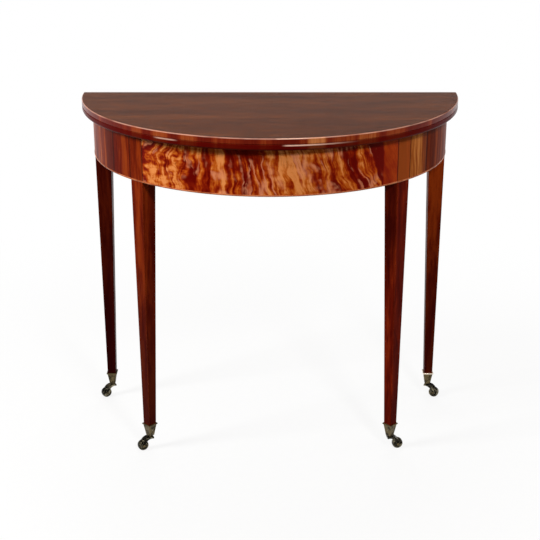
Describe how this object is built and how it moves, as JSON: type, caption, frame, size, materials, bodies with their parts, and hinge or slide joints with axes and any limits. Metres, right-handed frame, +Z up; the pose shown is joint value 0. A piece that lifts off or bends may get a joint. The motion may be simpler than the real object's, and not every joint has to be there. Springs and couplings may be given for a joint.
{
  "type": "demilune table",
  "caption": "Half-round fold-over table with a veneered bow frieze, swinging gate legs, tapered square legs and brass cup castors.",
  "frame": {"origin": "on the floor under the centre of the closed table's bounding box", "axes": "+X along the straight back to the table's right as seen from its bowed front, +Y to the back, +Z up"},
  "size_m": [0.838, 0.4242, 0.75],
  "materials": {
    "top_mahogany": "polished long-grain mahogany",
    "flame_veneer": "polished flame-figured mahogany veneer",
    "side_veneer": "polished mahogany veneer",
    "mahogany": "polished solid mahogany",
    "pine": "bare aged pine",
    "beech": "bare aged beech",
    "brass": "aged dull brass",
    "steel": "dark aged steel"
  },
  "bodies": {
    "frame": {"lower_leaf": "top_mahogany", "left_hinge_lower_plate": "brass", "right_hinge_lower_plate": "brass", "left_hinge_pin": "brass", "right_hinge_pin": "brass", "lower_hinge_screws": "steel", "frieze_core": "pine", "front_veneer": "flame_veneer", "left_side_veneer": "side_veneer", "right_side_veneer": "side_veneer", "left_end_veneer": "side_veneer", "right_end_veneer": "side_veneer", "frieze_edging": "mahogany", "back_rail": "pine", "hinge_rail": "beech", "hinge_rail_screws": "steel", "left_knuckle_pin": "steel", "right_knuckle_pin": "steel", "centre_brace": "pine", "glue_blocks": "pine", "top_screws": "steel", "front_left_leg": "mahogany", "front_right_leg": "mahogany", "front_left_castor_cup": "brass", "front_right_castor_cup": "brass", "front_cup_screws": "steel"},
    "folding_leaf": {"upper_leaf": "top_mahogany", "left_hinge_upper_plate": "brass", "right_hinge_upper_plate": "brass", "upper_hinge_screws": "steel"},
    "left_gate": {"left_gate_leg": "mahogany", "left_fly_rail": "beech", "left_gate_pegs": "beech", "rear_left_castor_cup": "brass", "rear_left_cup_screws": "steel"},
    "right_gate": {"right_gate_leg": "mahogany", "right_fly_rail": "beech", "right_gate_pegs": "beech", "rear_right_castor_cup": "brass", "rear_right_cup_screws": "steel"},
    "front_left_horn": {"front_left_castor_horn": "brass", "front_left_castor_axle": "brass"},
    "front_left_wheel": {"front_left_castor_wheel": "brass"},
    "rear_left_horn": {"rear_left_castor_horn": "brass", "rear_left_castor_axle": "brass"},
    "rear_left_wheel": {"rear_left_castor_wheel": "brass"},
    "front_right_horn": {"front_right_castor_horn": "brass", "front_right_castor_axle": "brass"},
    "front_right_wheel": {"front_right_castor_wheel": "brass"},
    "rear_right_horn": {"rear_right_castor_horn": "brass", "rear_right_castor_axle": "brass"},
    "rear_right_wheel": {"rear_right_castor_wheel": "brass"}
  },
  "joints": [
    {"name": "leaf_fold", "type": "hinge", "parent": "frame", "child": "folding_leaf", "pos_m": [0, 0.20708, 0.7375], "axis": [-1, 0, 0], "range_deg": [0, 180]},
    {"name": "left_gate_swing", "type": "hinge", "parent": "frame", "child": "left_gate", "pos_m": [-0.13, 0.17963, 0.677], "axis": [0, 0, -1], "range_deg": [0, 90]},
    {"name": "right_gate_swing", "type": "hinge", "parent": "frame", "child": "right_gate", "pos_m": [0.13, 0.17963, 0.677], "axis": [0, 0, 1], "range_deg": [0, 90]},
    {"name": "front_left_swivel", "type": "hinge", "parent": "frame", "child": "front_left_horn", "pos_m": [-0.2682, -0.07081, 0.033], "axis": [0, 0, 1], "continuous": true},
    {"name": "front_left_wheel_spin", "type": "hinge", "parent": "front_left_horn", "child": "front_left_wheel", "pos_m": [-0.28464, -0.07813, 0.012], "axis": [0.4067, -0.9135, 0], "continuous": true},
    {"name": "rear_left_swivel", "type": "hinge", "parent": "left_gate", "child": "rear_left_horn", "pos_m": [-0.38477, 0.19592, 0.033], "axis": [0, 0, 1], "continuous": true},
    {"name": "rear_left_wheel_spin", "type": "hinge", "parent": "rear_left_horn", "child": "rear_left_wheel", "pos_m": [-0.40036, 0.18693, 0.012], "axis": [0.5, -0.866, 0], "continuous": true},
    {"name": "front_right_swivel", "type": "hinge", "parent": "frame", "child": "front_right_horn", "pos_m": [0.2682, -0.07081, 0.033], "axis": [0, 0, 1], "continuous": true},
    {"name": "front_right_wheel_spin", "type": "hinge", "parent": "front_right_horn", "child": "front_right_wheel", "pos_m": [0.28593, -0.06768, 0.012], "axis": [-0.1736, 0.9848, 0], "continuous": true},
    {"name": "rear_right_swivel", "type": "hinge", "parent": "right_gate", "child": "rear_right_horn", "pos_m": [0.38477, 0.19592, 0.033], "axis": [0, 0, 1], "continuous": true},
    {"name": "rear_right_wheel_spin", "type": "hinge", "parent": "rear_right_horn", "child": "rear_right_wheel", "pos_m": [0.40108, 0.18832, 0.012], "axis": [0.4226, 0.9063, 0], "continuous": true}
  ]
}
